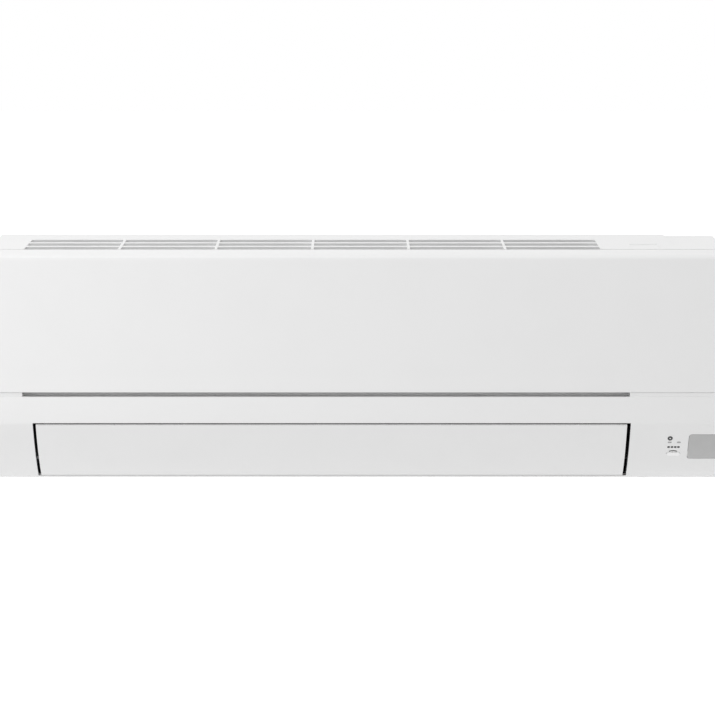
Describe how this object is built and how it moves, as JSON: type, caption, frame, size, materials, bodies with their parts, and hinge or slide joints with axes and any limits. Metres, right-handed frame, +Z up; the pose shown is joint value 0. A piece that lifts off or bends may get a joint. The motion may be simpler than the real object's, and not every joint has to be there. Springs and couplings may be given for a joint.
{
  "type": "wall mounted split air conditioner indoor unit",
  "caption": "Wall-mounted indoor air conditioning unit with a top intake grille, a hinged front panel, and a curved outlet flap over swinging louvres.",
  "frame": {"origin": "middle of the rear face of the installation plate, on the wall plane, at half the unit's height", "axes": "+X along the unit to the right as seen from the front, +Y into the wall, +Z up; the front faces -Y"},
  "size_m": [0.838, 0.228, 0.28],
  "materials": {
    "casing_plastic": "satin white moulded plastic",
    "inner_plastic": "light grey moulded plastic",
    "dark_plastic": "dark moulded plastic",
    "fan_plastic": "dark grey glass filled plastic",
    "filter_net": "fine woven net in a moulded frame",
    "sheet_steel": "zinc plated sheet steel",
    "coil_aluminium": "aluminium fins",
    "copper": "drawn copper tube",
    "brass_nut": "turned brass",
    "rubber": "black rubber",
    "lens": "translucent grey lens",
    "board": "green lacquered circuit board",
    "motor_white": "motor can"
  },
  "bodies": {
    "chassis": {"installation_plate": "sheet_steel", "base_frame": "casing_plastic", "front_casing": "casing_plastic", "receiver_window": "lens", "display_board": "board", "heat_exchanger_front": "coil_aluminium", "heat_exchanger_upper": "coil_aluminium", "heat_exchanger_rear": "coil_aluminium", "coil_sensor": "copper", "gas_pipe": "copper", "liquid_pipe": "copper", "gas_flare_nut": "brass_nut", "liquid_flare_nut": "brass_nut", "drain_pan": "inner_plastic", "drain_spout": "dark_plastic", "fan_bearing": "rubber", "fan_motor": "motor_white", "motor_ring_left": "rubber", "motor_ring_right": "rubber", "motor_clamp": "inner_plastic", "outlet_duct": "dark_plastic", "vane_bush": "dark_plastic", "vane_motor": "motor_white", "electrical_box": "sheet_steel", "electrical_cover": "sheet_steel", "control_board": "board", "main_capacitor": "dark_plastic", "terminal_block": "dark_plastic", "motor_screw_1": "sheet_steel", "motor_screw_2": "sheet_steel", "casing_screw_left": "sheet_steel", "casing_screw_right": "sheet_steel"},
    "front_panel": {"front_panel": "casing_plastic"},
    "horizontal_vane": {"horizontal_vane": "casing_plastic", "vane_drive_shaft": "sheet_steel"},
    "fan": {"cross_flow_fan": "fan_plastic", "fan_stub_shaft": "sheet_steel", "motor_shaft": "sheet_steel"},
    "air_filter_left": {"air_filter_left": "filter_net"},
    "air_filter_right": {"air_filter_right": "filter_net"},
    "emergency_button": {"emergency_button": "casing_plastic"},
    "tie_bar_left": {"tie_bar_left": "dark_plastic"},
    "tie_bar_right": {"tie_bar_right": "dark_plastic"},
    "louvre_1": {"louvre_1": "dark_plastic"},
    "louvre_2": {"louvre_2": "dark_plastic"},
    "louvre_3": {"louvre_3": "dark_plastic"},
    "louvre_4": {"louvre_4": "dark_plastic"},
    "louvre_5": {"louvre_5": "dark_plastic"},
    "louvre_6": {"louvre_6": "dark_plastic"},
    "louvre_7": {"louvre_7": "dark_plastic"},
    "louvre_8": {"louvre_8": "dark_plastic"},
    "louvre_9": {"louvre_9": "dark_plastic"},
    "louvre_10": {"louvre_10": "dark_plastic"}
  },
  "joints": [
    {"name": "front_panel_hinge", "type": "hinge", "parent": "chassis", "child": "front_panel", "pos_m": [0, -0.185, 0.133], "axis": [-1, 0, 0], "range_deg": [0, 70]},
    {"name": "horizontal_vane_hinge", "type": "hinge", "parent": "chassis", "child": "horizontal_vane", "pos_m": [0, -0.16781, -0.09956], "axis": [1, 0, 0], "range_deg": [0, 70]},
    {"name": "fan_spin", "type": "hinge", "parent": "chassis", "child": "fan", "pos_m": [0, -0.102, -0.028], "axis": [1, 0, 0], "continuous": true},
    {"name": "filter_left_lift", "type": "hinge", "parent": "chassis", "child": "air_filter_left", "pos_m": [0, -0.0614, -0.028], "axis": [-1, 0, 0], "range_deg": [0, 24]},
    {"name": "filter_right_lift", "type": "hinge", "parent": "chassis", "child": "air_filter_right", "pos_m": [0, -0.0614, -0.028], "axis": [-1, 0, 0], "range_deg": [0, 24]},
    {"name": "emergency_button_push", "type": "slide", "parent": "chassis", "child": "emergency_button", "axis": [0, 0.7071, 0.7071], "range_m": [0, 0.001], "stiffness_N_per_m": 400},
    {"name": "louvre_1_swing", "type": "hinge", "parent": "chassis", "child": "louvre_1", "pos_m": [-0.32873, -0.12638, -0.10902], "axis": [0, -0.3724, 0.9281], "range_deg": [-35, 35]},
    {"name": "louvre_2_swing", "type": "hinge", "parent": "chassis", "child": "louvre_2", "pos_m": [-0.26219, -0.12638, -0.10902], "axis": [0, -0.3724, 0.9281], "range_deg": [-35, 35]},
    {"name": "louvre_3_swing", "type": "hinge", "parent": "chassis", "child": "louvre_3", "pos_m": [-0.19565, -0.12638, -0.10902], "axis": [0, -0.3724, 0.9281], "range_deg": [-35, 35]},
    {"name": "louvre_4_swing", "type": "hinge", "parent": "chassis", "child": "louvre_4", "pos_m": [-0.12911, -0.12638, -0.10902], "axis": [0, -0.3724, 0.9281], "range_deg": [-35, 35]},
    {"name": "louvre_5_swing", "type": "hinge", "parent": "chassis", "child": "louvre_5", "pos_m": [-0.06257, -0.12638, -0.10902], "axis": [0, -0.3724, 0.9281], "range_deg": [-35, 35]},
    {"name": "tie_bar_left_crank", "type": "hinge", "parent": "louvre_1", "child": "tie_bar_left", "pos_m": [-0.32873, -0.13902, -0.09901], "axis": [0, -0.3724, 0.9281], "range_deg": [-35, 35]},
    {"name": "louvre_6_swing", "type": "hinge", "parent": "chassis", "child": "louvre_6", "pos_m": [0.00397, -0.12638, -0.10902], "axis": [0, -0.3724, 0.9281], "range_deg": [-35, 35]},
    {"name": "louvre_7_swing", "type": "hinge", "parent": "chassis", "child": "louvre_7", "pos_m": [0.07051, -0.12638, -0.10902], "axis": [0, -0.3724, 0.9281], "range_deg": [-35, 35]},
    {"name": "louvre_8_swing", "type": "hinge", "parent": "chassis", "child": "louvre_8", "pos_m": [0.13705, -0.12638, -0.10902], "axis": [0, -0.3724, 0.9281], "range_deg": [-35, 35]},
    {"name": "louvre_9_swing", "type": "hinge", "parent": "chassis", "child": "louvre_9", "pos_m": [0.20359, -0.12638, -0.10902], "axis": [0, -0.3724, 0.9281], "range_deg": [-35, 35]},
    {"name": "louvre_10_swing", "type": "hinge", "parent": "chassis", "child": "louvre_10", "pos_m": [0.27013, -0.12638, -0.10902], "axis": [0, -0.3724, 0.9281], "range_deg": [-35, 35]},
    {"name": "tie_bar_right_crank", "type": "hinge", "parent": "louvre_6", "child": "tie_bar_right", "pos_m": [0.00397, -0.13902, -0.09901], "axis": [0, -0.3724, 0.9281], "range_deg": [-35, 35]}
  ],
  "couplings": [
    {"joint": "louvre_2_swing", "follows": "louvre_1_swing", "ratio": 1},
    {"joint": "louvre_3_swing", "follows": "louvre_1_swing", "ratio": 1},
    {"joint": "louvre_4_swing", "follows": "louvre_1_swing", "ratio": 1},
    {"joint": "louvre_5_swing", "follows": "louvre_1_swing", "ratio": 1},
    {"joint": "tie_bar_left_crank", "follows": "louvre_1_swing", "ratio": -1},
    {"joint": "louvre_7_swing", "follows": "louvre_6_swing", "ratio": 1},
    {"joint": "louvre_8_swing", "follows": "louvre_6_swing", "ratio": 1},
    {"joint": "louvre_9_swing", "follows": "louvre_6_swing", "ratio": 1},
    {"joint": "louvre_10_swing", "follows": "louvre_6_swing", "ratio": 1},
    {"joint": "tie_bar_right_crank", "follows": "louvre_6_swing", "ratio": -1}
  ]
}
